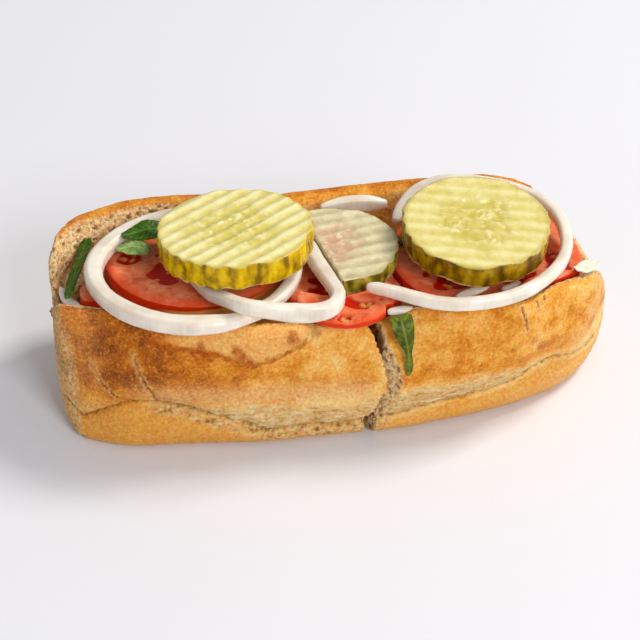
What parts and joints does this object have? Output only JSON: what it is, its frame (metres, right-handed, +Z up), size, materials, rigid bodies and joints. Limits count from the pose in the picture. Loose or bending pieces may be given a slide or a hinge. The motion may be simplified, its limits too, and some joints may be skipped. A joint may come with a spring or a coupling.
{
  "type": "submarine sandwich",
  "caption": "Soft split roll cut across into two halves, filled with a cooked layer, tomato, onion rings, crinkle-cut pickle and green leaves.",
  "frame": {"origin": "middle of the bounding box, on the flat base the sandwich rests on", "axes": "+X along the roll to the right of its lower wall's outside, +Y from the lower wall to the higher wall, +Z up"},
  "size_m": [0.1742, 0.0768, 0.0599],
  "materials": {
    "bread": "baked golden crust, pale open crumb inside",
    "filling": "moist cooked filling",
    "tomato": "wet cut tomato",
    "onion": "translucent white onion",
    "pickle": "wet crinkle-cut pickle",
    "pickle_pale": "wet, pale, see-through pickle",
    "leaf": "dark green leaf",
    "lettuce": "pale green and white leaf"
  },
  "bodies": {
    "root": {"bread_left": "bread", "bread_right": "bread", "filling_left": "filling", "filling_right": "filling", "tomato_left": "tomato", "tomato_left_end": "tomato", "tomato_centre": "tomato", "tomato_right": "tomato", "tomato_front": "tomato", "onion_ring_left": "onion", "onion_ring_centre": "onion", "onion_ring_right": "onion", "onion_strip_back": "onion", "onion_strip_front": "onion", "onion_strip_under": "onion", "onion_chip_right": "onion", "onion_shred_left": "onion", "pickle_left": "pickle", "pickle_centre": "pickle_pale", "pickle_right": "pickle", "leaf_left": "leaf", "leaf_back": "leaf", "leaf_middle": "leaf", "leaf_hanging": "leaf", "leaf_behind": "leaf", "lettuce_right": "lettuce"}
  },
  "joints": []
}
